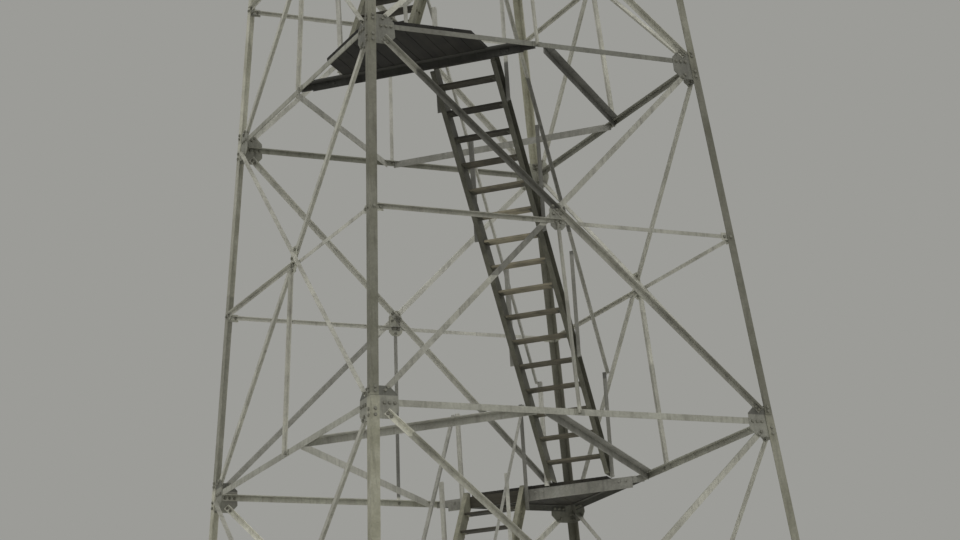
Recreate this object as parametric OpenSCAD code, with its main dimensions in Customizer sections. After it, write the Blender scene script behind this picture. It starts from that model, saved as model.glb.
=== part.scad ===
// Fire lookout tower of galvanised steel angles with a switchback stair and a small cab.
// Origin at the middle of the four feet on the ground, +Z up, faces square to X and Y.
// The stair runs on the diagonal from the south-west leg (-X -Y) to the north-east leg.

/* [Tower] */
// Width over two legs at the ground
base_w = 4750; // [4650:10:4850]
// Width over two legs at the cab floor
top_w = 2220; // [2170:10:2300]
// Height of the lowest brace joints above the ground
foot_z = 190; // [185:5:260]
// Height of the first panel of bracing
panel_1_h = 3950; // [3800:10:4100]
// Height of the second panel of bracing
panel_2_h = 3620; // [3500:10:3700]
// Height of the third panel of bracing
panel_3_h = 3000; // [2900:10:3100]
// Height of the fourth panel of bracing
panel_4_h = 2570; // [2480:10:2680]
// Height of the fifth panel of bracing, under the cab
panel_5_h = 2210; // [2120:10:2300]

/* [Legs] */
// Flange width of the lower leg angles
lower_leg_w = 84; // [78:1:92]
// Thickness of the lower leg angles
lower_leg_t = 9; // [8:0.5:12]
// Flange width of the upper leg angles
leg_w = 76; // [70:1:82]
// Thickness of the upper leg angles
leg_t = 8; // [6:0.5:8]
// Height of the butt splice above the first ring
splice_h = 62; // [50:1:90]
// Gap left between the two lengths of a spliced leg
splice_gap = 3; // [1:0.5:6]
// Side of the square base plates
base_plate_w = 300; // [280:5:340]
// Thickness of the base plates
base_plate_t = 18; // [12:1:25]
// Radius of the anchor bolt holes
anchor_r = 11; // [8:0.5:13]
// Spacing of the anchor bolt holes
anchor_pitch = 230; // [220:5:240]

/* [Bracing] */
// Flange width of the diagonal braces
brace_w = 50; // [44:1:54]
// Thickness of the diagonal braces
brace_t = 5; // [4:0.5:6]
// Distance from a ring joint to the end of a brace
brace_set = 135; // [125:5:160]
// Flange width of the half-height ties and the hangers
tie_w = 38; // [32:1:44]
// Thickness of the ties and hangers
tie_t = 4; // [3:0.5:5]
// Drop of the ties below the crossing of the braces
tie_drop = 118; // [105:1:130]
// Flange width of the struts of the lowest ring
lower_strut_w = 60; // [56:1:66]
// Flange width of the struts of the other rings
strut_w = 50; // [46:1:56]
// Thickness of the ring struts and the landing beams
strut_t = 6; // [5:0.5:8]
// Gap from the corner of the tower to the end of a strut
strut_set = 102; // [98:1:120]
// Height above the joints of the struts that carry the even landings
strut_lift = 36; // [30:1:40]

/* [Plates] */
// Thickness of the gusset plates
plate_t = 6; // [5:0.5:8]
// Reach of a gusset plate along the face from the corner
gusset_reach = 265; // [250:5:290]
// Height of a gusset plate
gusset_h = 300; // [280:5:320]
// Size of the cut corners of the gusset plates
gusset_cut = 75; // [40:5:85]
// Width of the plates at the crossings and the struts
joint_plate_w = 150; // [130:5:170]

/* [Landings] */
// Depth of the lowest landing from the corner to its open edge
lower_landing_depth = 1150; // [1120:10:1200]
// Depth of the other landings from the corner to their open edge
landing_depth = 1235; // [1200:5:1260]
// Width of a landing deck between its square cut ends
deck_w = 1470; // [1440:10:1540]
// Thickness of the landing decks and the cab floor
deck_t = 38; // [34:1:42]
// Height of the beams across and along the corners
beam_h = 70; // [60:1:76]
// Flange width of the beams
beam_w = 76; // [60:1:80]
// Height of the plate along the open edge of a landing
edge_plate_h = 118; // [108:1:124]
// Gap along the edge plate from its end to the middle line of the strut
edge_plate_set = 150; // [130:5:180]
// Distance of the side beams from the line through the ends of the landing beams
side_beam_set = 30; // [20:5:50]

/* [Stairs] */
// Width of a flight over its stringers
flight_w = 665; // [640:5:690]
// Distance of the middle of a flight from the diagonal of the tower
flight_offset = 465; // [450:5:475]
// Distance of the foot of the lowest flight from the middle of the tower
first_foot = 1370; // [1250:10:1500]
// Drop of the line of the treads below the decks that it joins
tread_drop = 30; // [0:5:40]
// Wanted height of a step
step_rise = 212; // [200:1:225]
// Depth of a tread
tread_depth = 140; // [120:5:160]
// Thickness of a tread
tread_t = 22; // [18:1:30]
// Depth of a stringer channel
stringer_d = 150; // [130:5:160]
// Flange width of a stringer channel
stringer_w = 48; // [40:1:52]
// Thickness of a stringer channel
stringer_t = 7; // [5:0.5:9]
// Height of the handrails above the line of the treads
rail_h = 950; // [850:10:1000]
// Size of the handrail angles
rail_w = 32; // [28:1:38]
// Thickness of the handrail angles
rail_t = 4; // [3:0.5:5]
// Flange width of the rail posts
post_w = 40; // [36:1:50]
// Number of steps from one rail post to the next
post_steps = 5; // [4:1:6]

/* [Cab] */
// Width of the cab over its walls
cab_w = 2280; // [2260:10:2340]
// Height of the cab walls
wall_h = 2050; // [1950:10:2150]
// Thickness of the cab walls
wall_t = 60; // [50:1:80]
// Height of the window sills above the floor
sill_h = 950; // [850:10:1000]
// Height of the windows
window_h = 850; // [750:10:880]
// Width of the post between two windows and of the wall beside them
window_post = 110; // [90:5:140]
// Width of the sash frames
sash_w = 45; // [35:1:60]
// Thickness of the sash frames
sash_t = 35; // [30:1:40]
// Thickness of the glass
glass_t = 4; // [3:0.5:6]
// Overhang of the roof past the walls
eave = 160; // [120:10:220]
// Height of the roof
roof_h = 560; // [450:10:700]
// Thickness of the roof
roof_t = 30; // [20:1:45]
// Length of the stair opening in the cab floor
hatch_l = 820; // [780:10:860]
// Room beside the flight in the stair opening
hatch_clear = 18; // [12:1:30]
// Distance from the middle of the cab to the far end of the stair opening
hatch_end = 500; // [460:10:520]

/* [Hidden] */
galvanised = [0.62, 0.63, 0.60];
shaded_steel = [0.42, 0.43, 0.39];
old_wood = [0.24, 0.22, 0.19];
sheet_steel = [0.66, 0.67, 0.64];
pane = [0.70, 0.80, 0.82, 0.35];
far = 40000;
panel_h = [panel_1_h, panel_2_h, panel_3_h, panel_4_h, panel_5_h];
panels = len(panel_h);
function sum_to(list, n) = n <= 0 ? 0 : list[n - 1] + sum_to(list, n - 1);
function ring_z(k) = foot_z + sum_to(panel_h, k);
batter = (base_w - top_w) / 2 / ring_z(panels);
lean = atan(batter);
// Half of the face width at a height, and the same at a place up the slope of a face
function half_w(z) = base_w / 2 - batter * z;
function face_u(v) = base_w / 2 - sin(lean) * v;
function ring_v(k) = ring_z(k) / cos(lean);
function diagonal(k) = sqrt(2) * half_w(ring_z(k));
function depth(k) = k == 1 ? lower_landing_depth : landing_depth;
function level_edge(k) = diagonal(k) - depth(k);
// Landing numbers count up from the ground, at the north-east corner when odd
function corner(k) = k % 2 == 1 ? 1 : -1;
// Layers through a face, counted outwards from the outer side of the upper legs
outer_seat = -leg_t;
inner_seat = -leg_t - plate_t;
strut_back = -inner_seat + strut_t;
splice_z = ring_z(1) + splice_h;
// Widths and places of the struts: those on the two faces at an even landing are set higher
function strut_width(k) = k == 1 ? lower_strut_w : strut_w;
function lifted(k, side) = k < panels && corner(k) == -1 && (side == 0 || side == 3);
function strut_v(k, side) = ring_v(k) + (lifted(k, side) ? strut_lift : 0);
function strut_top(k, side) =
    (strut_v(k, side) + strut_width(k) / 2) * cos(lean) + inner_seat * sin(lean);
// Heights of the decks, which lie on the struts of their own two faces, and of the plain beams
function deck_bottom(k) = strut_top(k, corner(k) == 1 ? 1 : 0);
function beam_top(k) = strut_top(k, 1);
function deck_top(k) = k == 0 ? 0 : deck_bottom(k) + deck_t;
cab_floor_z = deck_bottom(panels);
cab_z = cab_floor_z + deck_t;
roof_pitch = atan(roof_h / (cab_w / 2 + eave));
eave_z = cab_z + wall_h - (eave + wall_t) * tan(roof_pitch) + roof_t / cos(roof_pitch);
plate_gap = 2;
hatch_w = flight_w + 2 * hatch_clear;
leg_gauge = leg_w / 2;
lap = 60;

function leg_flange(k) = k == 0 ? lower_leg_w - lower_leg_t + leg_t : leg_w;
function crossing_v(k) = let(
    low = face_u(ring_v(k)) - leg_gauge,
    high = face_u(ring_v(k + 1)) - leg_gauge
) ring_v(k) + (ring_v(k + 1) - ring_v(k)) * low / (low + high);

// Places its children on one face of the tower: X along the face, Y up its slope, Z outwards
module on_face(side) {
    rotate([0, 0, 90 * side])
        translate([0, -base_w / 2, 0])
            rotate([90 - lean, 0, 0])
                children();
}

// Turns its children so that Y points along the diagonal from the south-west to the north-east
module on_diagonal() {
    rotate([0, 0, -45]) children();
}

// Keeps what lies at least this deep behind the outer side of the upper legs, on all four faces
module behind_faces(depth) {
    difference() {
        children();
        for (side = [0:3])
            on_face(side) translate([-far / 2, -far / 2, -depth]) cube([far, far, far]);
    }
}

// Cross-section of a leg, seen along it, with the inner corner of every leg on one line
module leg_section(w, t) {
    half = (180 - acos(pow(sin(lean), 2))) / 2;
    heel = [(leg_t - t) / sin(half), 0];
    inner = [leg_t / sin(half), 0];
    along = [cos(half), sin(half)];
    across = [sin(half), -cos(half)];
    tip = heel + w * along;
    tip_in = tip + t * across;
    polygon([heel, tip, tip_in, inner, [tip_in.x, -tip_in.y], [tip.x, -tip.y]]);
}

module leg_length(w, t, low, high) {
    tilt = atan(batter * sqrt(2));
    intersection() {
        translate([-base_w / 2, -base_w / 2, 0])
            rotate([0, tilt, 45])
                translate([0, 0, -base_plate_w])
                    linear_extrude(far / 2) leg_section(w, t);
        translate([-base_w, -base_w, low]) cube([2 * base_w, 2 * base_w, high - low]);
    }
}

module leg() {
    color(galvanised) {
        leg_length(lower_leg_w, lower_leg_t, base_plate_t, splice_z - splice_gap / 2);
        leg_length(leg_w, leg_t, splice_z + splice_gap / 2, cab_floor_z);
    }
}

module southwest_leg() { leg(); }
module southeast_leg() { rotate([0, 0, 90]) leg(); }
module northeast_leg() { rotate([0, 0, 180]) leg(); }
module northwest_leg() { rotate([0, 0, 270]) leg(); }

// Square plates under the legs with four anchor holes each
module base_plates() {
    middle = base_w / 2 - leg_w * 0.8;
    color(galvanised)
        for (x = [-middle, middle], y = [-middle, middle])
            translate([x, y, 0])
                difference() {
                    translate([-base_plate_w / 2, -base_plate_w / 2, 0])
                        cube([base_plate_w, base_plate_w, base_plate_t]);
                    for (i = [-0.5, 0.5], j = [-0.5, 0.5])
                        translate([i * anchor_pitch, j * anchor_pitch, -1])
                            cylinder(r = anchor_r, h = base_plate_t + 2, $fn = 32);
                }
}

// A steel angle on a face from p to q, one flange flat on the layer at seat
// way is 1 for a standing flange that points outwards, -1 for inwards
// edge is 1 or -1 for the side of the bar that carries the standing flange
module face_angle(p, q, w, t, seat, way, edge = 1) {
    d = q - p;
    outline = [[-w / 2, 0], [w / 2, 0], [w / 2, w], [w / 2 - t, w], [w / 2 - t, t], [-w / 2, t]];
    translate([p.x, p.y, 0])
        rotate([0, 0, atan2(d.y, d.x)])
            rotate([90, 0, 90])
                linear_extrude(norm(d))
                    polygon([for (c = outline) [edge * c.x, seat + way * c.y]]);
}

// The two crossing braces of a panel: one behind the plates, one in front of them
module brace_pair(k) {
    low = [face_u(ring_v(k)) - leg_gauge, ring_v(k)];
    high = [face_u(ring_v(k + 1)) - leg_gauge, ring_v(k + 1)];
    from = [-low.x, low.y];
    run = (high - from) / norm(high - from);
    start = from + brace_set * run;
    end = high - brace_set * run;
    face_angle(start, end, brace_w, brace_t, inner_seat, -1);
    face_angle([-start.x, start.y], [-end.x, end.y], brace_w, brace_t, outer_seat, 1, -1);
}

// How far a tie passes the middle of the face before it meets the brace on its own side
function tie_reach(k) = let(
    low = face_u(ring_v(k)) - leg_gauge,
    run = low / (crossing_v(k) - ring_v(k))
) (tie_drop - tie_w / 2) * run - brace_w / 2 * sqrt(1 + run * run) - 3 * plate_gap;

// The half-height tie in two lengths, each on its own side of the plates
module tie_pair(k) {
    v = crossing_v(k) - tie_drop;
    u = face_u(v);
    reach = tie_reach(k);
    face_angle([-u + leg_flange(k) + plate_gap, v], [reach, v], tie_w, tie_t, outer_seat, 1);
    face_angle([-reach, v], [u - 2 * plate_t - leg_t, v], tie_w, tie_t, inner_seat, -1);
}

// The hanger from the crossing down to the middle of the ring strut
module hanger(k, side) {
    top = crossing_v(k) - tie_drop - tie_w / 2 - plate_gap;
    bottom = strut_v(k, side) - strut_width(k) / 4;
    face_angle([0, bottom], [0, top], tie_w, tie_t, outer_seat, 1);
}

module face_braces(side) {
    color(shaded_steel)
        on_face(side)
            for (k = [0:panels - 1]) {
                brace_pair(k);
                tie_pair(k);
                if (k > 0) hanger(k, side);
            }
}

module south_braces() { face_braces(0); }
module east_braces() { face_braces(1); }
module north_braces() { face_braces(2); }
module west_braces() { face_braces(3); }

// A flat plate in the layer between the inner and the outer bars
module face_plate(outline) {
    translate([0, 0, inner_seat]) linear_extrude(plate_t) polygon(outline);
}

// The plate that joins a leg, a strut and the braces at a ring, cut level under the cab floor
module gusset(k, hand) {
    v = ring_v(k);
    low = v - gusset_h / 2;
    high = k == panels ? v + strut_width(k) / 2 - plate_gap : v + gusset_h / 2;
    cut = k == panels ? 0 : gusset_cut;
    clear = leg_t + plate_t + plate_gap;
    inner = face_u(v) - gusset_reach;
    outline = [
        [face_u(low) - clear, low], [inner + gusset_cut, low], [inner, low + gusset_cut],
        [inner, high - cut], [inner + cut, high], [face_u(high) - clear, high]
    ];
    face_plate([for (c = outline) [hand * c.x, c.y]]);
}

// The small plate that holds the end of a tie on a leg
module tie_plate(k, hand) {
    v = crossing_v(k) - tie_drop;
    clear = leg_t + plate_t + plate_gap;
    low = v - tie_w;
    high = v + tie_w;
    inner = face_u(v) - leg_flange(k) - lap;
    outline = [
        [face_u(low) - clear, low], [inner, low], [inner, high], [face_u(high) - clear, high]
    ];
    face_plate([for (c = outline) [hand * c.x, c.y]]);
}

// The plate where the braces cross, long enough for the ties and the top of the hanger
module crossing_plate(k) {
    v = crossing_v(k);
    half = joint_plate_w / 2;
    low = v - tie_drop - tie_w / 2 - lap;
    cut = half / 2;
    face_plate([
        [-cut, low], [cut, low], [half, low + cut], [half, v], [cut, v + half], [-cut, v + half],
        [-half, v], [-half, low + cut]
    ]);
}

module hanger_plate(k, side) {
    half = joint_plate_w / 3;
    low = strut_v(k, side) - strut_width(k) / 2;
    high = low + strut_width(k);
    face_plate([[-half, low], [half, low], [half, high], [-half, high]]);
}

module face_plates(side) {
    color(galvanised)
        on_face(side) {
            for (k = [0:panels], hand = [-1, 1])
                gusset(k, hand);
            for (k = [0:panels - 1]) {
                crossing_plate(k);
                tie_plate(k, -1);
                tie_plate(k, 1);
                if (k > 0) hanger_plate(k, side);
            }
        }
}

module south_plates() { face_plates(0); }
module east_plates() { face_plates(1); }
module north_plates() { face_plates(2); }
module west_plates() { face_plates(3); }

// The four struts of a ring, their level flange along the top edge
module ring_struts(k) {
    w = strut_width(k);
    color(galvanised)
        for (side = [0:3]) {
            v = strut_v(k, side);
            u = face_u(v) - strut_set;
            on_face(side) face_angle([-u, v], [u, v], w, strut_t, inner_seat, -1);
        }
}

module ring_1_struts() { ring_struts(1); }
module ring_2_struts() { ring_struts(2); }
module ring_3_struts() { ring_struts(3); }
module ring_4_struts() { ring_struts(4); }
module ring_5_struts() { ring_struts(5); }

// A level steel angle along X with its upright face at y = 0 and its flange at the top
module level_angle(length, height, w, t) {
    rotate([90, 0, 90])
        linear_extrude(length, center = true)
            polygon([[0, -height], [t, -height], [t, -t], [w, -t], [w, 0], [0, 0]]);
}

// Cuts a bar to the backs of the struts of a ring, its ends notched under their level flanges
module coped(k) {
    difference() {
        behind_faces(strut_back) children();
        for (side = [0:3])
            on_face(side)
                translate([
                    -far / 2, strut_v(k, side) + strut_width(k) / 2 - strut_t,
                    inner_seat - strut_width(k)
                ])
                    cube([far, far, far]);
    }
}

// Places its children in a corner of the tower: X along the open edge, Y out to the leg
module in_corner(way) {
    on_diagonal() rotate([0, 0, way == 1 ? 0 : 180]) children();
}

// The two beams across the corners of every ring, and the plate along the edge of each landing
module landing_beams() {
    color(shaded_steel)
        for (k = [1:panels - 1]) {
            for (way = [corner(k), -corner(k)])
                coped(k)
                    in_corner(way)
                        translate([0, level_edge(k), way == corner(k) ? deck_bottom(k) : beam_top(k)])
                            level_angle(3 * landing_depth, beam_h, beam_w, strut_t);
            in_corner(corner(k)) edge_plate(k);
        }
}

// The plate stands up to the planks' upper side at an even landing and ends below them at an odd one
function edge_plate_top(k) = corner(k) == 1 ? deck_bottom(k) : deck_top(k);

module edge_plate(k) {
    length = 2 * (depth(k) - edge_plate_set);
    translate([-length / 2, level_edge(k) - plate_t, edge_plate_top(k) - edge_plate_h])
        cube([length, plate_t, edge_plate_h]);
}

// The two beams along the sides of every ring, from strut to strut
module side_beams() {
    color(shaded_steel)
        for (k = [1:panels - 1], turn = [90, 270])
            coped(k)
                on_diagonal()
                    rotate([0, 0, turn])
                        translate([0, depth(k) + side_beam_set, beam_top(k)])
                            level_angle(2 * base_w, beam_h, beam_w, strut_t);
}

// The joists under the cab floor, beside the stair opening
module cab_joists() {
    color(shaded_steel)
        for (x = [-flight_offset - hatch_w / 2, -flight_offset + hatch_w / 2, flight_offset])
            coped(panels)
                on_diagonal()
                    translate([x, 0, cab_floor_z])
                        rotate([0, 0, x < -flight_offset ? 90 : -90])
                            level_angle(3 * cab_w, beam_h, beam_w / 2, strut_t);
}

// Room round the brace that starts behind the plates at the leg of a landing
module brace_room(k) {
    low = [face_u(ring_v(k)) - leg_gauge, ring_v(k)];
    high = [face_u(ring_v(k + 1)) - leg_gauge, ring_v(k + 1)];
    run = [low.x + high.x, high.y - low.y];
    side_w = brace_w + 4 * plate_gap;
    on_face(corner(k) == 1 ? 2 : 0)
        translate([-low.x, low.y, inner_seat - side_w])
            rotate([0, 0, atan2(run.y, run.x)])
                translate([brace_set - 2 * plate_gap, -side_w / 2, 0])
                    cube([gusset_h, side_w, side_w + plate_t]);
}

// A plank deck in one corner of a ring, its ends cut square, its tip cut round the leg and the brace
module landing_deck(k) {
    edge = level_edge(k);
    side = diagonal(k) + inner_seat * sqrt(2);
    tip = leg_w + leg_t;
    half = deck_w / 2;
    color(old_wood)
        difference() {
            behind_faces(plate_gap - inner_seat)
                in_corner(corner(k))
                    translate([0, 0, deck_bottom(k)])
                        linear_extrude(deck_t)
                            polygon([
                                [-half, edge], [half, edge], [half, side - half],
                                [tip, side - tip], [-tip, side - tip], [-half, side - half]
                            ]);
            brace_room(k);
        }
}

module landing_1_deck() { landing_deck(1); }
module landing_2_deck() { landing_deck(2); }
module landing_3_deck() { landing_deck(3); }
module landing_4_deck() { landing_deck(4); }

// Flight k climbs from level k - 1 to level k, its ends on the edges of the landings
function level_y(k) =
    corner(k) * (k == 0 ? first_foot : k == panels ? hatch_end : level_edge(k) - plate_t);
function foot(k) = [level_y(k - 1), k == 1 ? 0 : deck_top(k - 1) - tread_drop];
function head(k) = [level_y(k), deck_top(k) - tread_drop];
function flight_side(k) = k % 2 == 0 ? 1 : -1;
function steps(k) = round((head(k).y - foot(k).y) / step_rise);
function on_line(k, n) = foot(k) + (head(k) - foot(k)) * n / steps(k);
function slope(k) = let(d = head(k) - foot(k)) atan2(d.y, d.x);

module on_flight(k) {
    on_diagonal() translate([flight_side(k) * flight_offset, 0, 0]) children();
}

// Keeps what lies above the lower deck, below the upper deck and short of its edge
module within_flight(k) {
    way = sign(head(k).x - foot(k).x);
    intersection() {
        children();
        translate([-far / 2, way > 0 ? head(k).x - far : head(k).x, deck_top(k - 1)])
            cube([far, far, deck_top(k) - deck_top(k - 1)]);
    }
}

// A bar along the line of a flight, its outline drawn across the flight and square to the slope
module along_flight(k) {
    d = head(k) - foot(k);
    extra = 2 * stringer_d;
    translate([0, foot(k).x, foot(k).y])
        rotate([slope(k) - 90, 0, 0])
            translate([0, 0, -extra])
                linear_extrude(norm(d) + 2 * extra)
                    children();
}

module channel_outline() {
    difference() {
        translate([0, -stringer_d / 2]) square([stringer_w, stringer_d]);
        translate([stringer_t, -stringer_d / 2 + stringer_t])
            square([stringer_w, stringer_d - 2 * stringer_t]);
    }
}

module flight_stringers(k) {
    color(shaded_steel)
        on_flight(k)
            for (hand = [0, 1])
                within_flight(k)
                    along_flight(k)
                        mirror([hand, 0]) translate([flight_w / 2 - stringer_w, 0])
                            channel_outline();
}

module flight_1_stringers() { flight_stringers(1); }
module flight_2_stringers() { flight_stringers(2); }
module flight_3_stringers() { flight_stringers(3); }
module flight_4_stringers() { flight_stringers(4); }
module flight_5_stringers() { flight_stringers(5); }

// Plank treads between the stringers, open at the back, and a board on the edge of the landing
module flight_treads(k) {
    length = flight_w - 2 * stringer_w;
    color(old_wood)
        on_flight(k) {
            for (n = [1:steps(k) - 1])
                translate([-length / 2, on_line(k, n).x - tread_depth / 2, on_line(k, n).y - tread_t])
                    cube([length, tread_depth, tread_t]);
            if (k < panels) head_board(k, length);
        }
}

module head_board(k, length) {
    near = corner(k) == 1 ? head(k).x - tread_t : head(k).x;
    translate([-length / 2, near, edge_plate_top(k) - edge_plate_h])
        cube([length, tread_t, edge_plate_h]);
}

module flight_1_treads() { flight_treads(1); }
module flight_2_treads() { flight_treads(2); }
module flight_3_treads() { flight_treads(3); }
module flight_4_treads() { flight_treads(4); }
module flight_5_treads() { flight_treads(5); }

// Places of the rail posts of a flight, counted in steps from its foot
function post_places(k) =
    let(end = rail_end(k), even = [for (n = [0.5:post_steps:end]) n])
        end - even[len(even) - 1] > 2 ? concat(even, [end]) : even;
// The rails stop half a step before a landing, and under the cab floor on the last flight
function rail_end(k) = steps(k) - 0.5 - (k == panels ? ceil(rail_top / step_rise) : 0);
rail_top = rail_h + rail_w + deck_t;

// Angle posts against the edges of the stringer flanges, up to the middle of the rail
module rail_posts() {
    color(galvanised)
        for (k = [1:panels])
            on_flight(k)
                for (hand = [0, 1], n = post_places(k))
                    mirror([hand, 0, 0]) rail_post(k, n);
}

module rail_post(k, n) {
    place = on_line(k, n);
    low = max(place.y - stringer_d / 2 / abs(cos(slope(k))), 0);
    high = place.y + rail_h + rail_w;
    translate([flight_w / 2, place.x, low])
        linear_extrude(high - low)
            polygon([[0, 0], [post_w, 0], [post_w, rail_t], [rail_t, rail_t], [rail_t, post_w],
                     [0, post_w]]);
}

// Two angle handrails on every flight
module handrails() {
    color(galvanised)
        for (k = [1:panels])
            on_flight(k)
                for (hand = [0, 1])
                    mirror([hand, 0, 0]) handrail(k);
}

module handrail(k) {
    from = on_line(k, 0.5);
    to = on_line(k, rail_end(k));
    x = flight_w / 2 + post_w;
    up = slope(k) > 90 ? 1 : -1;
    outline = [
        [0, 0], [0, rail_w], [rail_w, rail_w], [rail_w, rail_w - rail_t],
        [rail_t, rail_w - rail_t], [rail_t, 0]
    ];
    translate([x, from.x, from.y + rail_h])
        rotate([slope(k) - 90, 0, 0])
            linear_extrude(norm(to - from))
                polygon([for (c = outline) [c.x, up * c.y]]);
}

module cab_floor() {
    half = cab_w / 2;
    color(old_wood)
        difference() {
            translate([-half, -half, cab_floor_z]) cube([cab_w, cab_w, deck_t]);
            on_diagonal()
                translate([-flight_offset - hatch_w / 2, hatch_end - hatch_l, cab_floor_z - 1])
                    cube([hatch_w, hatch_l, deck_t + 2]);
        }
}

window_w = (cab_w - 2 * wall_t - 3 * window_post) / 2;
function window_x(i) = -window_post / 2 - window_w + i * (window_w + window_post);

// A wall with two window openings, its top cut to the slope of the roof
module cab_wall(side, length) {
    color(sheet_steel)
        intersection() {
            below_roof(roof_t / cos(roof_pitch));
            rotate([0, 0, 90 * side])
                difference() {
                    translate([-length / 2, -cab_w / 2, cab_z]) cube([length, wall_t, wall_h]);
                    for (i = [0, 1])
                        translate([window_x(i), -cab_w / 2 - 1, cab_z + sill_h])
                            cube([window_w, wall_t + 2, window_h]);
                }
        }
}

module cab_south_wall() { cab_wall(0, cab_w); }
module cab_east_wall() { cab_wall(1, cab_w - 2 * wall_t); }
module cab_north_wall() { cab_wall(2, cab_w); }
module cab_west_wall() { cab_wall(3, cab_w - 2 * wall_t); }

module in_windows() {
    for (side = [0:3], i = [0, 1])
        rotate([0, 0, 90 * side])
            translate([window_x(i), -cab_w / 2 + (wall_t - sash_t) / 2, cab_z + sill_h])
                children();
}

module cab_sashes() {
    color(sheet_steel)
        in_windows()
            difference() {
                cube([window_w, sash_t, window_h]);
                translate([sash_w, -1, sash_w])
                    cube([window_w - 2 * sash_w, sash_t + 2, window_h - 2 * sash_w]);
            }
}

module cab_glazing() {
    color(pane)
        in_windows()
            translate([sash_w, (sash_t - glass_t) / 2, sash_w])
                cube([window_w - 2 * sash_w, glass_t, window_h - 2 * sash_w]);
}

// All that lies below four planes that rise from the eaves to a point, lowered by drop
module below_roof(drop) {
    intersection_for (side = [0:3])
        rotate([0, 0, 90 * side])
            translate([0, -cab_w / 2 - eave, eave_z - drop])
                rotate([roof_pitch, 0, 0])
                    translate([-far / 2, -far / 2, -far]) cube([far, far, far]);
}

// A four-sided roof, a shell of even thickness that bears on the tops of the walls
module cab_roof() {
    half = cab_w / 2 + eave;
    color(sheet_steel)
        difference() {
            intersection() {
                below_roof(0);
                translate([-half, -half, eave_z]) cube([2 * half, 2 * half, 2 * roof_h]);
            }
            below_roof(roof_t / cos(roof_pitch));
        }
}

southwest_leg();
southeast_leg();
northeast_leg();
northwest_leg();
base_plates();
south_braces();
east_braces();
north_braces();
west_braces();
south_plates();
east_plates();
north_plates();
west_plates();
ring_1_struts();
ring_2_struts();
ring_3_struts();
ring_4_struts();
ring_5_struts();
landing_beams();
side_beams();
cab_joists();
landing_1_deck();
landing_2_deck();
landing_3_deck();
landing_4_deck();
flight_1_stringers();
flight_2_stringers();
flight_3_stringers();
flight_4_stringers();
flight_5_stringers();
flight_1_treads();
flight_2_treads();
flight_3_treads();
flight_4_treads();
flight_5_treads();
rail_posts();
handrails();
cab_floor();
cab_south_wall();
cab_east_wall();
cab_north_wall();
cab_west_wall();
cab_sashes();
cab_glazing();
cab_roof();
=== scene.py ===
import math
import random

import bmesh
import bpy
from mathutils import Matrix, Vector


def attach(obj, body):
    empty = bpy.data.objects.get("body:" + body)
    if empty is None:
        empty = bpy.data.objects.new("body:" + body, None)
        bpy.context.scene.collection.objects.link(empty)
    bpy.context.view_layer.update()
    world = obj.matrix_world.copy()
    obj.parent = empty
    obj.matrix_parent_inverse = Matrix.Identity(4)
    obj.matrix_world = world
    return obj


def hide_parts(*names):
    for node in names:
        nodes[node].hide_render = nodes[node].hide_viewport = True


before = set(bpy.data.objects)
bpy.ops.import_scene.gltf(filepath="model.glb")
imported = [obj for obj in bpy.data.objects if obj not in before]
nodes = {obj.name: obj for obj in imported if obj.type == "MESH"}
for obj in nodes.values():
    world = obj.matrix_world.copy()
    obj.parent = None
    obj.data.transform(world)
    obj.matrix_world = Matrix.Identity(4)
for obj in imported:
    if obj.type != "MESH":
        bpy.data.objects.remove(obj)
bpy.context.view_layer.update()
dice = random.Random(7)


# Legs. Each is a rolled steel angle in two lengths, butted just above the first ring.
# The heavy lower length was galvanised later and is still pale; the upper one has dulled to olive grey.
ring_z = [0.19, 4.14, 7.76, 10.76, 13.33, 15.54]
panels = len(ring_z) - 1
base_w, top_w = 4.75, 2.22
batter = (base_w - top_w) / 2 / ring_z[-1]
lean = math.atan(batter)
leg_w, low_leg_w, leg_t, leg_gauge = 0.076, 0.083, 0.008, 0.038
splice_z = ring_z[1] + 0.062


def linear(code):
    """Turns an sRGB hex colour to linear light."""
    parts = [int(code[i : i + 2], 16) / 255 for i in (1, 3, 5)]
    return [c / 12.92 if c <= 0.04045 else ((c + 0.055) / 1.055) ** 2.4 for c in parts] + [1.0]


def add(tree, kind, sockets=None, **settings):
    """Adds one shader node with its settings, values and links."""
    new = tree.nodes.new(kind)
    for name, value in settings.items():
        setattr(new, name, value)
    for name, value in (sockets or {}).items():
        if isinstance(value, bpy.types.NodeSocket):
            tree.links.new(value, new.inputs[name])
        else:
            new.inputs[name].default_value = value
    return new


whole_width = (-9, 9, -9, 9)


def wear_and_painted_light(tree, place, tone, marks):
    """Makes a tone paler or darker inside boxes: some mark newer zinc, most are painted light and shade,
    where parts face the light, lie under landings or are seen from below.

    A mark is how much paler, the lowest and highest z and, where it matters, those of x and y.
    """
    for factor, *bounds in marks:
        z0, z1, x0, x1, y0, y1 = (*bounds, *whole_width)[:6]
        half = ((x1 - x0) / 2, (y1 - y0) / 2, (z1 - z0) / 2)
        shift = (-(x0 + x1) / 2 / half[0], -(y0 + y1) / 2 / half[1], -(z0 + z1) / 2 / half[2])
        scale = (1 / half[0], 1 / half[1], 1 / half[2])
        box = add(tree, "ShaderNodeMapping", {"Vector": place, "Location": shift, "Scale": scale})
        away = add(tree, "ShaderNodeVectorMath", {0: box.outputs[0]}, operation="ABSOLUTE")
        axes = add(tree, "ShaderNodeSeparateXYZ", {"Vector": away.outputs[0]})
        most = add(tree, "ShaderNodeMath", {0: axes.outputs[0], 1: axes.outputs[1]}, operation="MAXIMUM")
        most = add(tree, "ShaderNodeMath", {0: most.outputs[0], 1: axes.outputs[2]}, operation="MAXIMUM")
        limits = {"From Min": 0.985, "From Max": 1.015, "To Min": factor, "To Max": 1.0}
        inside = add(tree, "ShaderNodeMapRange", {"Value": most.outputs[0], **limits})
        tone = add(tree, "ShaderNodeMath", {0: tone, 1: inside.outputs[0]}, operation="MULTIPLY").outputs[0]
    return tone


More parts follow.
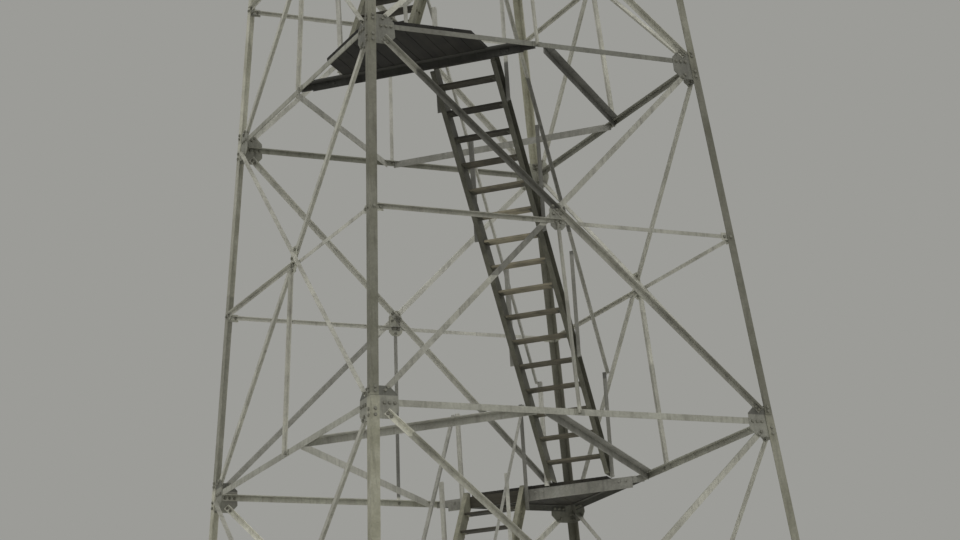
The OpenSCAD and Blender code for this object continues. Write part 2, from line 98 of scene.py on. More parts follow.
def galvanised(name, pale, dull, stain, marks=()):
    """Hot-dip galvanised steel under a matt zinc patina, with rain streaks and dull patches."""
    material = bpy.data.materials.new(name)
    material.use_nodes = True
    tree = material.node_tree
    shader = tree.nodes["Principled BSDF"]
    place = add(tree, "ShaderNodeTexCoord").outputs["Object"]
    # Zinc crystals are 10 to 20 mm across and show as faint facets of light and dull
    spangle = add(tree, "ShaderNodeTexVoronoi", {"Vector": place, "Scale": 55.0})
    patches = add(
        tree, "ShaderNodeTexNoise", {"Vector": place, "Scale": 2.6, "Detail": 5.0, "Roughness": 0.62}
    )
    drawn = add(tree, "ShaderNodeMapping", {"Vector": place, "Scale": (26.0, 26.0, 1.6)})
    streaks = add(tree, "ShaderNodeTexNoise", {"Vector": drawn.outputs[0], "Scale": 1.0, "Detail": 3.0})
    dullness = add(
        tree, "ShaderNodeMapRange", {"Value": patches.outputs[0], "From Min": 0.35, "From Max": 0.68}
    )
    first = add(
        tree, "ShaderNodeMix", {0: dullness.outputs[0], 6: linear(pale), 7: linear(dull)}, data_type="RGBA"
    )
    dirt = add(
        tree,
        "ShaderNodeMapRange",
        {"Value": streaks.outputs[0], "From Min": 0.52, "From Max": 0.75, "To Max": 0.55},
    )
    second = add(
        tree, "ShaderNodeMix", {0: dirt.outputs[0], 6: first.outputs[2], 7: linear(stain)}, data_type="RGBA"
    )
    facet = add(
        tree, "ShaderNodeMapRange", {"Value": spangle.outputs["Color"], "To Min": 0.88, "To Max": 1.10}
    )
    tone = add(
        tree,
        "ShaderNodeMix",
        {0: 1.0, 6: second.outputs[2], 7: wear_and_painted_light(tree, place, facet.outputs[0], marks)},
        data_type="RGBA",
        blend_type="MULTIPLY",
    )
    tree.links.new(tone.outputs[2], shader.inputs["Base Color"])
    matt = add(
        tree,
        "ShaderNodeMapRange",
        {"Value": patches.outputs[0], "From Min": 0.3, "From Max": 0.7, "To Min": 0.52, "To Max": 0.74},
    )
    tree.links.new(matt.outputs[0], shader.inputs["Roughness"])
    shader.inputs["Metallic"].default_value = 0.12
    grain = add(tree, "ShaderNodeTexNoise", {"Vector": place, "Scale": 160.0, "Detail": 2.0})
    bump = add(
        tree, "ShaderNodeBump", {"Height": grain.outputs[0], "Strength": 0.25, "Distance": 0.0012}
    )
    tree.links.new(bump.outputs[0], shader.inputs["Normal"])
    return material


def finish(names, material):
    """Gives CAD nodes their finish."""
    for name in names:
        for place in nodes[name].material_slots:
            place.material = material


# Spans of height: the lower leg lengths, and all that is above the second ring
below, above = (-1, splice_z), (ring_z[2] + 0.04, 20)
# Hot-dip galvanised rolled angle, a matt grey with faint facets; the lower lengths kept more zinc, and
# above the second ring the steel is made paler with painted light from haze
leg_steel = galvanised(
    "galvanised_leg", "#78776A", "#626152", "#4C4A3D", ((1.75, *below), (1.2, *above))
)
# The south-east leg is a darker copy of the same steel, painted shade, as the light falls from the west
east_leg_steel_painted_shade = galvanised(
    "galvanised_leg_east_painted_shade", "#706F63", "#5C5B4D", "#474539", ((1.5, *below), (1.45, *above))
)
# The north-west leg is a paler copy, painted light where the light from the west falls on it
west_leg_steel_painted_light = galvanised(
    "galvanised_leg_west_painted_light",
    "#8E8D80",
    "#757466",
    "#5B594C",
    ((1.8, *below), (1.35, 6.2, above[0]), (1.8, *above)),
)
# The north-east leg is a darker copy, painted shade on its inner side; darker still beside landing 1,
# painted shade, and much paler above the second ring, painted light from haze
north_leg_steel_painted_shade_and_light = galvanised(
    "galvanised_leg_north_painted_shade_and_light", "#6E6D60", "#5A594B", "#464437", ((0.85, splice_z, 5.2), (2.6, *above))
)

finish(["southwest_leg", "base_plates"], leg_steel)
finish(["southeast_leg"], east_leg_steel_painted_shade)
finish(["northwest_leg"], west_leg_steel_painted_light)
finish(["northeast_leg"], north_leg_steel_painted_shade_and_light)


# Bolts. Hexagon heads on round washers outside, nuts with a little thread behind.
# They are galvanised too; those through the base plates are nuts on the footing's threaded rods.
def take(piece):
    """Makes one object the only one selected, and the active one."""
    bpy.ops.object.select_all(action="DESELECT")
    piece.select_set(True)
    bpy.context.view_layer.objects.active = piece


def pick(piece, test):
    """In edit mode, selects the faces that pass a test of their middle and normal."""
    mesh = bmesh.from_edit_mesh(piece.data)
    bpy.context.tool_settings.mesh_select_mode = (False, False, True)
    for face in mesh.faces:
        face.select_set(test(face.calc_center_median(), face.normal))
    mesh.select_flush_mode()
    bmesh.update_edit_mesh(piece.data)


def join(pieces, name):
    """Joins pieces into the first one."""
    bpy.ops.object.select_all(action="DESELECT")
    for piece in pieces:
        piece.select_set(True)
    bpy.context.view_layer.objects.active = pieces[0]
    bpy.ops.object.join()
    pieces[0].name = pieces[0].data.name = name
    return pieces[0]


def settle(piece):
    """Moves an object's place into its mesh."""
    take(piece)
    bpy.ops.object.transform_apply(location=True, rotation=True, scale=True)
    return piece


def hexagon(radius, depth, z):
    """A hexagon head or nut with a small step on top, standing at a height."""
    bpy.ops.object.select_all(action="DESELECT")
    middle = (0, 0, z + depth / 2)
    bpy.ops.mesh.primitive_cylinder_add(vertices=6, radius=radius, depth=depth, location=middle)
    piece = bpy.context.active_object
    bpy.ops.object.mode_set(mode="EDIT")
    pick(piece, lambda middle, normal: normal.z > 0.9)
    bpy.ops.mesh.inset(thickness=0.0026)
    bpy.ops.transform.translate(value=(0, 0, 0.0018))
    bpy.ops.object.mode_set(mode="OBJECT")
    return settle(piece)


def disc(radius, depth, z, sides):
    """A washer or a length of thread, standing at a height."""
    bpy.ops.object.select_all(action="DESELECT")
    bpy.ops.mesh.primitive_cylinder_add(
        vertices=sides, radius=radius, depth=depth, location=(0, 0, z + depth / 2)
    )
    return settle(bpy.context.active_object)


def copies(master, places, name):
    """One piece from copies of a master, each with its own mesh, turned into its place."""
    whole = bmesh.new()
    for place in places:
        own = master.data.copy()
        own.transform(place)
        whole.from_mesh(own)
        bpy.data.meshes.remove(own)
    mesh = bpy.data.meshes.new(name)
    whole.to_mesh(mesh)
    whole.free()
    piece = bpy.data.objects.new(name, mesh)
    bpy.context.scene.collection.objects.link(piece)
    return piece


def dress(piece, material, slot, *replaced):
    """Gives a new piece its finish, lets it ride on the tower and hides the parts it stands for."""
    piece.data.materials.clear()
    piece.data.materials.append(material)
    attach(piece, "root")
    if replaced:
        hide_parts(*replaced)


bolt = join([hexagon(0.0150, 0.010, 0.003), disc(0.017, 0.003, 0, 10)], "bolt_head")
nut = join([hexagon(0.0150, 0.012, 0), disc(0.0075, 0.009, 0.0125, 6)], "bolt_nut")
rod = join([disc(0.028, 0.005, 0, 16), hexagon(0.018, 0.016, 0.005), disc(0.010, 0.012, 0.022, 10)], "rod")
# Galvanised sheared plate, matt and patchy, and bolts with a thinner coat of zinc that look duller
bolt_steel = galvanised("galvanised_bolt", "#7E7D71", "#68675C", "#535147")
# The plates are marked darker under landing 1 and around landing 2, painted shade; the other boxes make
# single stretches paler or darker
plate_steel = galvanised(
    "galvanised_plate",
    "#8C8C7F",
    "#74736A",
    "#5C5A50",
    (
        (0.5, splice_z, splice_z + 0.2),
        (1.6, 5.0, 7.0),
        (0.6, 5.0, 7.0, -0.4, 0.4, -2.2, -1.6),
        (0.85, 3.8, 4.6, 1, 2.4, 1, 2.4),
        (0.7, 7.4, 8.2, -2.4, 2.4, -2.4, -1),
        (1.5, 7.4, 8.2, 1, 2.4, 1, 2.4),
    ),
)
plate_middle, anchor_half, base_plate_t = base_w / 2 - 0.8 * leg_w, 0.115, 0.018
spots = [
    Matrix.Translation(
        (sx * plate_middle + px * anchor_half, sy * plate_middle + py * anchor_half, base_plate_t)
    )
    @ Matrix.Rotation(dice.uniform(0, 1), 4, "Z")
    for sx in (-1, 1)
    for sy in (-1, 1)
    for px in (-1, 1)
    for py in (-1, 1)
]
dress(copies(rod, spots, "anchor_nuts"), plate_steel, "galvanised_steel")
bpy.data.objects.remove(rod)


# Gusset plates and braces. Flat plates sheared at the corners, bolted behind the legs' flanges.
# Struts and one set of braces are bolted to their backs, the other set to their fronts.
plate_t, strut_t, brace_t, tie_t = 0.006, 0.006, 0.005, 0.004
outer_seat = -leg_t
inner_seat = -leg_t - plate_t
tie_drop, tie_w = 0.118, 0.038
ring_v = [z / math.cos(lean) for z in ring_z]
face_names = ["south", "east", "north", "west"]


def on_face(side):
    """From a face of the tower, with X along it, Y up its slope and Z outwards, to the frame."""
    return (
        Matrix.Rotation(math.radians(90 * side), 4, "Z")
        @ Matrix.Translation((0, -base_w / 2, 0))
        @ Matrix.Rotation(math.radians(90) - lean, 4, "X")
    )


def face_u(v):
    """Half of a face's width at a place up its slope."""
    return base_w / 2 - math.sin(lean) * v


def leg_flange(k):
    """Flange width of the leg angle beside the crossing of a panel."""
    return low_leg_w if k == 0 else leg_w


def crossing(k):
    """Where the two braces of a panel cross, up the slope of a face."""
    low, high = face_u(ring_v[k]) - leg_gauge, face_u(ring_v[k + 1]) - leg_gauge
    return ring_v[k] + (ring_v[k + 1] - ring_v[k]) * low / (low + high)


def strut_v(k, side):
    """Struts lie on the joints, but higher on the two faces at an even landing."""
    lifted = k < panels and k % 2 == 0 and side in (0, 3)
    return ring_v[k] + (0.036 if lifted else 0)


def through(ground, x, y, front, back):
    """Places a bolt head at the front and its nut at the back of what it clamps."""
    turn = Matrix.Rotation(dice.uniform(0, 1), 4, "Z")
    heads.append(ground @ Matrix.Translation((x, y, front)) @ turn)
    nuts.append(ground @ Matrix.Translation((x, y, back)) @ Matrix.Rotation(math.pi, 4, "X") @ turn)


# Galvanised rolled angle again, with its own copy for each face: the west braces, where the light falls,
# and the far north and east braces, seen through haze, are paler copies, painted light; all are paler above
# the second ring, also painted light, the south braces behind the stair are darker, painted shade, and
# other boxes make single stretches paler or darker
brace_steel = galvanised(
    "galvanised_brace",
    "#9F9E92",
    "#828176",
    "#64625A",
    (
        (1.15, *below),
        (1.3, *above),
        (0.85, splice_z, 5.2),
        (0.75, 6.1, 7.55, -1.3, 0.02),
        (0.45, 6.1, 7.38, -1.3, 0.02),
        (1.2, 4.9, 5.38, -1.3, -0.75),
        (0.5, 5.4, 5.93, -0.75, -0.12),
        (1.6, 3.84, 4.2, -2.1, -1.67),
    ),
)
east_brace_steel_painted_light = galvanised(
    "galvanised_brace_east_painted_light",
    "#A6A599",
    "#88877C",
    "#6A685F",
    ((1.15, *below), (1.25, 5.2, 7.6), (1.4, *above)),
)
west_brace_steel_painted_light = galvanised(
    "galvanised_brace_west_painted_light", "#B4B3A6", "#949388", "#737067", ((0.85, *below), (1.1, *above))
)
far_brace_steel_painted_light = galvanised(
    "galvanised_brace_north_painted_light",
    "#C2C1B6",
    "#A5A499",
    "#87857B",
    (
        (1.4, *below),
        (0.65, splice_z, 5.2, -0.06, 2.1),
        (0.55, splice_z, 5.9, -2.1, -0.06),
        (0.5, splice_z, 6.1, -0.05, 0.05),
    ),
)
# Rows of bolts, as distances from a joint: up the leg, along the strut and along a brace
leg_rows, top_leg_rows = (-0.118, -0.062, 0.098, 0.136), (-0.118, -0.062, 0.012)
strut_row, brace_row, crossing_half, tie_half = (0.130, 0.180, 0.230), (0.155, 0.195), 0.052, 0.024
# Bolts sit a little off a bar's gauge line or middle, and this far from the end of a tie or hanger
off_gauge, off_middle, tie_end, hanger_end = 0.004, 0.003, 0.030, 0.032
for side in range(4):
    heads, nuts = [], []
    ground = on_face(side)
    for k in range(panels + 1):
        v = ring_v[k]
        joint = Vector((face_u(v) - leg_gauge, v))
        for hand in (-1, 1):
            for dv in top_leg_rows if k == panels else leg_rows:
                through(ground, hand * (face_u(v + dv) - leg_gauge - off_gauge), v + dv, 0, inner_seat)
            if k > 0:
                for du in strut_row:
                    row = strut_v(k, side) - off_gauge
                    through(ground, hand * (face_u(v) - du), row, outer_seat, inner_seat - strut_t)
            for way in (-1, 1):
                if not 0 <= k + way <= panels:
                    continue
                far_v = ring_v[k + way]
                far_joint = Vector((-(face_u(far_v) - leg_gauge), far_v))
                run = (far_joint - joint).normalized()
                in_front = (hand > 0) == (way > 0)
                for reach in brace_row:
                    spot = joint + reach * run
                    if in_front:
                        through(ground, hand * spot.x, spot.y, outer_seat + brace_t, inner_seat)
                    else:
                        through(ground, hand * spot.x, spot.y, outer_seat, inner_seat - brace_t)
    for k in range(panels):
        c = crossing(k)
        low = Vector((face_u(ring_v[k]) - leg_gauge, c - ring_v[k])).normalized()
        through(ground, 0, c, outer_seat + brace_t, inner_seat - brace_t)
        for away in (-crossing_half, crossing_half):
            through(ground, away * low.x, c + away * low.y, outer_seat, inner_seat - brace_t)
            through(ground, -away * low.x, c + away * low.y, outer_seat + brace_t, inner_seat)
        v = c - tie_drop
        for u in (-tie_half, tie_half):
            through(ground, u, v - off_middle, outer_seat + tie_t, inner_seat - tie_t)
        u = face_u(v)
        through(ground, -u + leg_flange(k) + tie_end, v - off_middle, outer_seat + tie_t, inner_seat)
        through(ground, u - leg_flange(k) - tie_end, v - off_middle, outer_seat, inner_seat - tie_t)
        through(ground, u - leg_gauge - off_gauge, v - off_middle, 0, inner_seat - tie_t)
        through(ground, -u + leg_gauge + off_gauge, v, 0, inner_seat)
        if k > 0:
            through(ground, off_middle, v - tie_w / 2 - hanger_end, outer_seat + tie_t, inner_seat)
            through(ground, off_middle, strut_v(k, side) - 0.002, outer_seat + tie_t, inner_seat - strut_t)
    name = face_names[side]
    piece = join([copies(bolt, heads, "heads"), copies(nut, nuts, "nuts")], name + "_face_bolts")
    dress(piece, bolt_steel, "galvanised_steel")
    finish([name + "_plates"], plate_steel)
    finish([name + "_braces"], (brace_steel, east_brace_steel_painted_light, far_brace_steel_painted_light, west_brace_steel_painted_light)[side])


# Struts and the beams that carry the landings. Rolled angles, laid level at every ring.
# The struts catch the sky and look pale; the beams behind them are darkened with painted shade.
def strut_top(k, side):
    """Height of the top of a strut where decks lie on it."""
    half = 0.030 if k == 1 else 0.025
    return (strut_v(k, side) + half) * math.cos(lean) + inner_seat * math.sin(lean)


def deck_bottom(k):
    """Decks lie on the struts of their own two faces."""
    return strut_top(k, 1 if k % 2 == 1 else 0)


# Galvanised angles that lie level, with painted light where they face the light and painted shade under the
# landings and where only their undersides are seen
low_strut_steel = galvanised(
    "lower_strut_painted_light_and_shade",
    "#9C9C90",
    "#858479",
    "#69675C",
    ((1.3, 4, 4.3, -2, 0.45, 1.9, 2.1), (0.3, 4, 4.3, 0.45, 2.1, 0.45, 2.1)),
)
high_strut_steel = galvanised(
    "upper_strut_painted_light_and_shade",
    "#88887C",
    "#727167",
    "#5A584D",
    (
        (0.75, 7.7, 7.9, -2, 2, -2, -1.6),
        (1.3, 7.7, 7.9, -2, -1.6, -1.6, 2),
        (1.2, 7.7, 7.9, -1.6, 2, 1.6, 2),
    ),
)
beam_steel_painted_shade = galvanised(
    "galvanised_beam_painted_shade",
    "#B4B3A8",
    "#96958A",
    "#75736A",
    (
        (0.62, 4.0, 4.3, 0.39, 2.1, 0.39, 2.1),
        (0.80, 4.0, 4.3, -2.1, -0.39, -2.1, -0.39),
        (0.52, 4.0, 4.3, -0.39, 2.1, -2.1, 0.39),
        (0.13, 7.6, 7.9, -1.8, 0, -1.8, 0),
        (0.60, 7.6, 7.9, 0, 1.8, 0.03, 1.8),
        (0.30, 7.6, 7.9, 0.03, 1.8, -1.8, 0.03),
        (0.90, 7.6, 7.9, -1.8, 0, 0, 1.8),
        (0.40, 9.0, 20.0),
    ),
)

finish(["ring_1_struts"], low_strut_steel)
finish(["ring_%d_struts" % k for k in range(2, 6)], high_strut_steel)
finish(["landing_beams", "side_beams", "cab_joists"], beam_steel_painted_shade)


# Landing decks. Sawn softwood planks laid from the beam out to the struts.
# Thirty years of rain has turned them dark grey-brown, and their corners have gone soft.
def bare_wood(name, pale, dark, deep, board, turn, fine=(60.0, 2.4, 60.0), marks=()):
    """Unpainted softwood, weathered, with the grain along the boards and each board its own tone."""
    material = bpy.data.materials.new(name)
    material.use_nodes = True
    tree = material.node_tree
    shader = tree.nodes["Principled BSDF"]
    place = add(tree, "ShaderNodeTexCoord").outputs["Object"]
    turned = add(tree, "ShaderNodeMapping", {"Vector": place, "Rotation": turn}).outputs[0]
    axes = add(tree, "ShaderNodeSeparateXYZ", {"Vector": turned})
    count = add(tree, "ShaderNodeMath", {0: axes.outputs["X"], 1: board}, operation="DIVIDE")
    number = add(tree, "ShaderNodeMath", {0: count.outputs[0]}, operation="FLOOR")
    own = add(tree, "ShaderNodeTexWhiteNoise", {"W": number.outputs[0]}, noise_dimensions="1D")
    # Growth rings of 3 to 6 mm, drawn out along the board
    long = add(tree, "ShaderNodeMapping", {"Vector": turned, "Scale": fine})
    grain = add(
        tree,
        "ShaderNodeTexNoise",
        {"Vector": long.outputs[0], "Scale": 2.0, "Detail": 6.0, "Roughness": 0.6},
    )
    blotch = add(tree, "ShaderNodeTexNoise", {"Vector": turned, "Scale": 6.0, "Detail": 4.0})
    fibre = add(
        tree, "ShaderNodeMapRange", {"Value": grain.outputs[0], "From Min": 0.32, "From Max": 0.68}
    )
    first = add(
        tree, "ShaderNodeMix", {0: fibre.outputs[0], 6: linear(dark), 7: linear(pale)}, data_type="RGBA"
    )
    damp = add(
        tree,
        "ShaderNodeMapRange",
        {"Value": blotch.outputs[0], "From Min": 0.45, "From Max": 0.7, "To Max": 0.7},
    )
    second = add(
        tree, "ShaderNodeMix", {0: damp.outputs[0], 6: first.outputs[2], 7: linear(deep)}, data_type="RGBA"
    )
    shade = add(tree, "ShaderNodeMapRange", {"Value": own.outputs[0], "To Min": 0.75, "To Max": 1.25})
    tone = add(
        tree,
        "ShaderNodeMix",
        {0: 1.0, 6: second.outputs[2], 7: wear_and_painted_light(tree, place, shade.outputs[0], marks)},
        data_type="RGBA",
        blend_type="MULTIPLY",
    )
    tree.links.new(tone.outputs[2], shader.inputs["Base Color"])
    shader.inputs["Roughness"].default_value = 0.86
    bump = add(tree, "ShaderNodeBump", {"Height": grain.outputs[0], "Strength": 0.7, "Distance": 0.002})
    tree.links.new(bump.outputs[0], shader.inputs["Normal"])
    return material


def plank(size, worn, middle=(0, 0, 0)):
    """A sawn board with worn edges, its sizes along X, Y and Z."""
    bpy.ops.object.select_all(action="DESELECT")
    bpy.ops.mesh.primitive_cube_add(size=1)
    piece = bpy.context.active_object
    bpy.ops.object.mode_set(mode="EDIT")
    bpy.ops.mesh.select_all(action="SELECT")
    bpy.ops.transform.resize(value=size)
    bpy.ops.mesh.bevel(offset=worn, segments=2, affect="EDGES")
    bpy.ops.mesh.select_all(action="SELECT")
    bpy.ops.transform.translate(value=middle)
    bpy.ops.object.mode_set(mode="OBJECT")
    return piece


def slice_off(piece, middle, normal):
    """Cuts away what lies on the far side of a plane and closes the cut."""
    take(piece)
    bpy.ops.object.mode_set(mode="EDIT")
    bpy.ops.mesh.select_all(action="SELECT")
    bpy.ops.mesh.bisect(plane_co=middle, plane_no=normal, use_fill=True, clear_outer=True)
    bpy.ops.object.mode_set(mode="OBJECT")


def carve(piece, size, middle, ground):
    """Cuts a block out of a piece."""
    block = plank(size, 0.0005, middle)
    block.data.transform(ground)
    cut = piece.modifiers.new("cut", "BOOLEAN")
    cut.operation, cut.object = "DIFFERENCE", block
    take(piece)
    bpy.ops.object.modifier_apply(modifier="cut")
    bpy.data.objects.remove(block)


deck_t, deck_w = 0.038, 1.47
plate_gap = 0.002
edge_plate_h = 0.118


def half_w(z):
    """Half the tower's width over its legs at a height."""
    return base_w / 2 - batter * z


def depth(k):
    """How far a landing reaches in from the outer corner of its leg."""
    return 1.15 if k == 1 else 1.235


def level_edge(k):
    """Distance from the middle of the tower to the open edge of a landing."""
    return math.sqrt(2) * half_w(ring_z[k]) - depth(k)


def deck_top(k):
    """Height of a landing, or of the ground."""
    return 0 if k == 0 else deck_bottom(k) + deck_t


def edge_plate_top(k):
    """Height of the top of the plank at the open edge of a landing."""
    return deck_bottom(k) if k % 2 == 1 else deck_top(k)


def on_corner(k):
    """From a landing, with Y from the middle of the tower to its leg, to the frame."""
    return Matrix.Rotation(math.radians(-45 if k % 2 == 1 else 135), 4, "Z")


deck_boards = 11
board_gap = 0.004
board_w = (deck_w - (deck_boards - 1) * board_gap) / deck_boards
deck_turn = (0, 0, math.radians(45))
# Bare sawn softwood, rained on for decades: a soft grey-brown with the grain raised; landing 1 is marked a
# little darker, and landing 2 much darker, painted shade where its planks are seen from their shaded side
deck_wood = bare_wood(
    "weathered_deck_plank_painted_shade",
    "#3E3B32",
    "#2E2C25",
    "#22201A",
    board_w + board_gap,
    deck_turn,
    marks=((0.9, 4, 4.3), (0.4, 7.6, 7.9)),
)
notch, notch_middle, deck_tip = (0.3, 0.058, 0.064), (0.281, 0, inner_seat - 0.026), 0.084
for k in range(1, panels):
    edge = level_edge(k)
    side = math.sqrt(2) * (half_w(ring_z[k]) + inner_seat)
    master = plank((board_w, side - edge, deck_t), 0.003)
    places = []
    for i in range(deck_boards):
        x = -deck_w / 2 + board_w / 2 + i * (board_w + board_gap)
        slip = dice.uniform(0, 0.006)
        places.append(Matrix.Translation((x, edge + slip + (side - edge) / 2, deck_bottom(k) + deck_t / 2)))
    piece = copies(master, places, "landing_%d_planks" % k)
    bpy.data.objects.remove(master)
    reach = (half_w(deck_top(k)) + inner_seat - plate_gap) * math.sqrt(2)
    for hand in (-1, 1):
        slice_off(piece, (0, reach, 0), (hand, 1, 0))
    slice_off(piece, (0, side - deck_tip, 0), (0, 1, 0))
    piece.data.transform(on_corner(k))
    if k % 2 == 0:
        # The brace that starts behind the plates at the leg passes through this deck
        low = Vector((face_u(ring_v[k]) - leg_gauge, ring_v[k]))
        high = Vector((face_u(ring_v[k + 1]) - leg_gauge, ring_v[k + 1]))
        turn = math.atan2(high.y - low.y, low.x + high.x)
        foot = on_face(0) @ Matrix.Translation((-low.x, low.y, 0)) @ Matrix.Rotation(turn, 4, "Z")
        carve(piece, notch, notch_middle, foot)
    dress(piece, deck_wood, "old_planks", "landing_%d_deck" % k)

heads, nuts = [], []
edge_bolts, edge_bolt_drop = (-0.93, -0.86, -0.04, 0.04, 0.86, 0.93), 0.038
for k in range(1, panels):
    for x in edge_bolts:
        ground = on_corner(k) @ Matrix.Translation((x, level_edge(k), deck_bottom(k) - edge_bolt_drop))
        ground = ground @ Matrix.Rotation(math.radians(90), 4, "X")
        through(ground, 0, 0, plate_t, -strut_t)
piece = join([copies(bolt, heads, "heads"), copies(nut, nuts, "nuts")], "edge_plate_bolts")
dress(piece, beam_steel_painted_shade, "galvanised_steel")


# Stairs. Two channels carry plank treads, each on a short angle bolted inside the web.
# The channels have dulled almost black; the treads are dished and their front edges worn round.
flight_w, flight_offset, step_rise, tread_drop = 0.665, 0.465, 0.212, 0.030
tread_depth, tread_t, stringer_w, stringer_t = 0.14, 0.022, 0.048, 0.007
first_foot, hatch_end, clip_bolt_half, clip_bolt_drop = 1.37, 0.5, 0.030, 0.024


def level_y(k):
    """Where the flights meet a level, along the tower's diagonal towards the north-east."""
    way = 1 if k % 2 == 1 else -1
    return way * (first_foot if k == 0 else hatch_end if k == panels else level_edge(k) - plate_t)


def flight_line(k):
    """The foot and the head of a flight's line of treads, and its number of steps."""
    foot = Vector((level_y(k - 1), 0 if k == 1 else deck_top(k - 1) - tread_drop))
    head = Vector((level_y(k), deck_top(k) - tread_drop))
    return foot, head, round((head.y - foot.y) / step_rise)


def on_flight(k):
    """From a flight, with Y along the tower's diagonal towards the north-east, to the frame."""
    aside = flight_offset if k % 2 == 0 else -flight_offset
    return Matrix.Rotation(math.radians(-45), 4, "Z") @ Matrix.Translation((aside, 0, 0))


# Galvanised rolled channel whose zinc has gone to a dark brown-grey patina; the first flight is paler,
# painted light, the upper second flight darker, painted shade, and the flights above paler again, painted
# light from haze
stair_steel = galvanised(
    "weathered_channel_painted_light_and_shade",
    "#5E5D50",
    "#4A493D",
    "#3A392E",
    ((2.6, *below), (0.78, 6.2, above[0]), (0.85, 7.2, above[0]), (2.0, *above)),
)

tread_turn = (0, 0, math.radians(135))
# Bare sawn softwood, dark with dirt; boxes make bands of boards up the stairs paler, most of all halfway up
# the second flight
tread_wood = bare_wood(
    "weathered_tread_plank",
    "#3F3C32",
    "#302D25",
    "#23211B",
    0.19,
    tread_turn,
    marks=(
        (1.2, 0, 4),
        (1.3, 4.0, 4.3),
        (2.6, 4.3, 5.3),
        (4.2, 5.3, 5.55),
        (4.6, 5.55, 5.75),
        (7, 5.75, 6.62),
        (3.2, 6.62, 6.86),
        (1.6, 6.86, 7.1),
    ),
)
tread_l = flight_w - 2 * stringer_w
for k in range(1, panels + 1):
    foot, head, steps = flight_line(k)
    ground = on_flight(k)
    master = plank((tread_l, tread_depth, tread_t), 0.005)
    clip = plank((0.004, 0.110, 0.040), 0.0008, (0.002, 0, -0.020))
    shelf = plank((0.036, 0.110, 0.004), 0.0008, (0.022, 0, -0.002))
    clip = join([clip, shelf], "clip")
    treads, clips, heads = [], [], []
    for n in range(1, steps):
        spot = foot + (head - foot) * n / steps
        top = Matrix.Translation((0, spot.x, spot.y - tread_t / 2))
        treads.append(ground @ top @ Matrix.Rotation(dice.uniform(-0.01, 0.01), 4, "X"))
        for hand in (-1, 1):
            under = Matrix.Translation((hand * tread_l / 2, spot.x, spot.y - tread_t))
            turn = Matrix.Rotation(math.pi if hand > 0 else 0, 4, "Z")
            clips.append(ground @ under @ turn)
            for dy in (-clip_bolt_half, clip_bolt_half):
                out = (hand * (tread_l / 2 + stringer_t), spot.x + dy, spot.y - tread_t - clip_bolt_drop)
                heads.append(ground @ Matrix.Translation(out) @ Matrix.Rotation(hand * math.pi / 2, 4, "Y"))
    boards = [copies(master, treads, "treads")]
    if k < panels:
        # A dark board on edge, the height of the edge plate, covers it between the stringers: partly a
        # riser board, partly painted shade where the top tread shades the plate
        behind = (-tread_t if k % 2 == 1 else tread_t) / 2
        middle = (0, head.x + behind, edge_plate_top(k) - edge_plate_h / 2)
        boards.append(plank((tread_l, tread_t, edge_plate_h), 0.004, middle))
        boards[1].data.transform(ground)
    dress(join(boards, "flight_%d_planks" % k), tread_wood, "old_planks", "flight_%d_treads" % k)
    fixings = join([copies(clip, clips, "clips"), copies(bolt, heads, "heads")], "flight_%d_clips" % k)
    dress(fixings, stair_steel, "stair_steel")
    bpy.data.objects.remove(master)
    bpy.data.objects.remove(clip)
    finish(["flight_%d_stringers" % k], stair_steel)


# Handrails. Light angles on angle posts, bolted to the stringers' edges.
# They are galvanised like the tower and worn where hands slide.
# Galvanised light angle, rubbed matt; boxes make the lower lengths and some posts darker
rail_steel = galvanised(
    "galvanised_rail",
    "#B8B7AC",
    "#9A998E",
    "#7A786E",
    (
        (0.68, 0, 5.2),
        (0.8, 5.2, 6.5),
        (0.45, 6.5, 7.15, 0.6, 1.1, -0.6, -0.1),
        (0.45, 7.15, 7.8, 0.2, 0.75, -0.95, -0.45),
    ),
)
post_steel = galvanised(
    "galvanised_post",
    "#B8B7AC",
    "#9A998E",
    "#7A786E",
    (
        (0.45, 3.9, 5.2, 1.0, 1.3, 1.1, 1.4),
        (0.55, 4.1, 5.3, 1.6, 1.85, 0.4, 0.7),
        (0.6, 5.2, 6.3),
        (0.36, 6.3, 7.78),
    ),
)

finish(["rail_posts"], post_steel)
finish(["handrails"], rail_steel)


